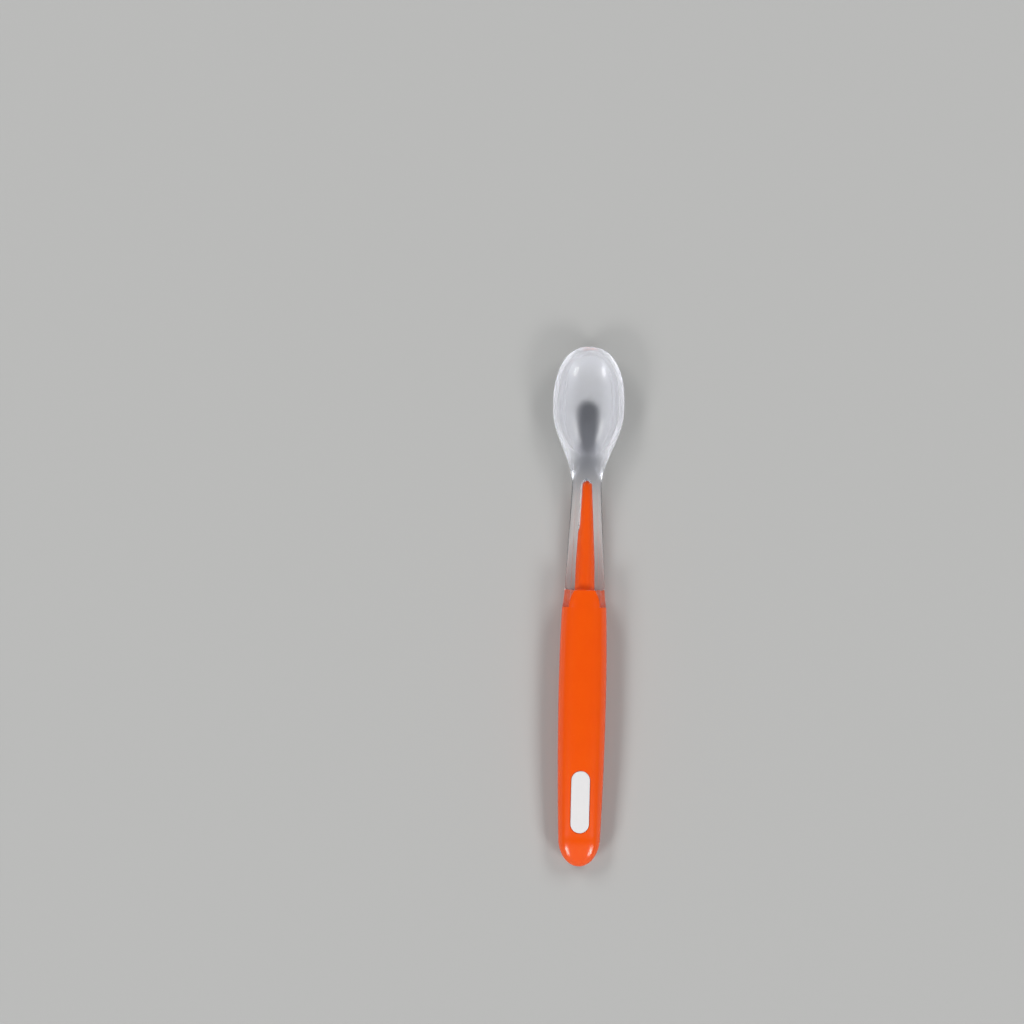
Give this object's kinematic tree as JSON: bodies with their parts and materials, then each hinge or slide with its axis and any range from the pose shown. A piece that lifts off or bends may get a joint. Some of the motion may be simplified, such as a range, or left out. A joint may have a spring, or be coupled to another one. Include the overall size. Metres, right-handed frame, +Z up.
{
  "type": "silicone-tipped spoon",
  "caption": "Baby feeding spoon: a rounded orange plastic handle with a tongue and a slender tang, a flexible clear silicone neck and bowl moulded in one over the tang, and a plain white inlay near the tail.",
  "frame": {"origin": "under the middle of the spoon's length, on the surface that the spoon lies on", "axes": "+Y from the tail to the tip of the bowl, +Z up out of the open bowl, +X to the right seen from above with the bowl away from the viewer"},
  "size_m": [0.0206, 0.15, 0.0094],
  "materials": {
    "orange_plastic": "gloss",
    "clear_silicone": "gloss",
    "white_plastic": "satin"
  },
  "bodies": {
    "handle": {"handle": "orange_plastic", "badge_inlay": "white_plastic"},
    "soft_tip": {"silicone_tip": "clear_silicone"}
  },
  "joints": [
    {"name": "soft_tip_flex", "type": "hinge", "parent": "handle", "child": "soft_tip", "pos_m": [0, 0.042, 0.0057], "axis": [1, 0, 0], "range_deg": [-35, 35], "stiffness_Nm_per_rad": 0.04, "deforming": ["silicone_tip"]}
  ]
}
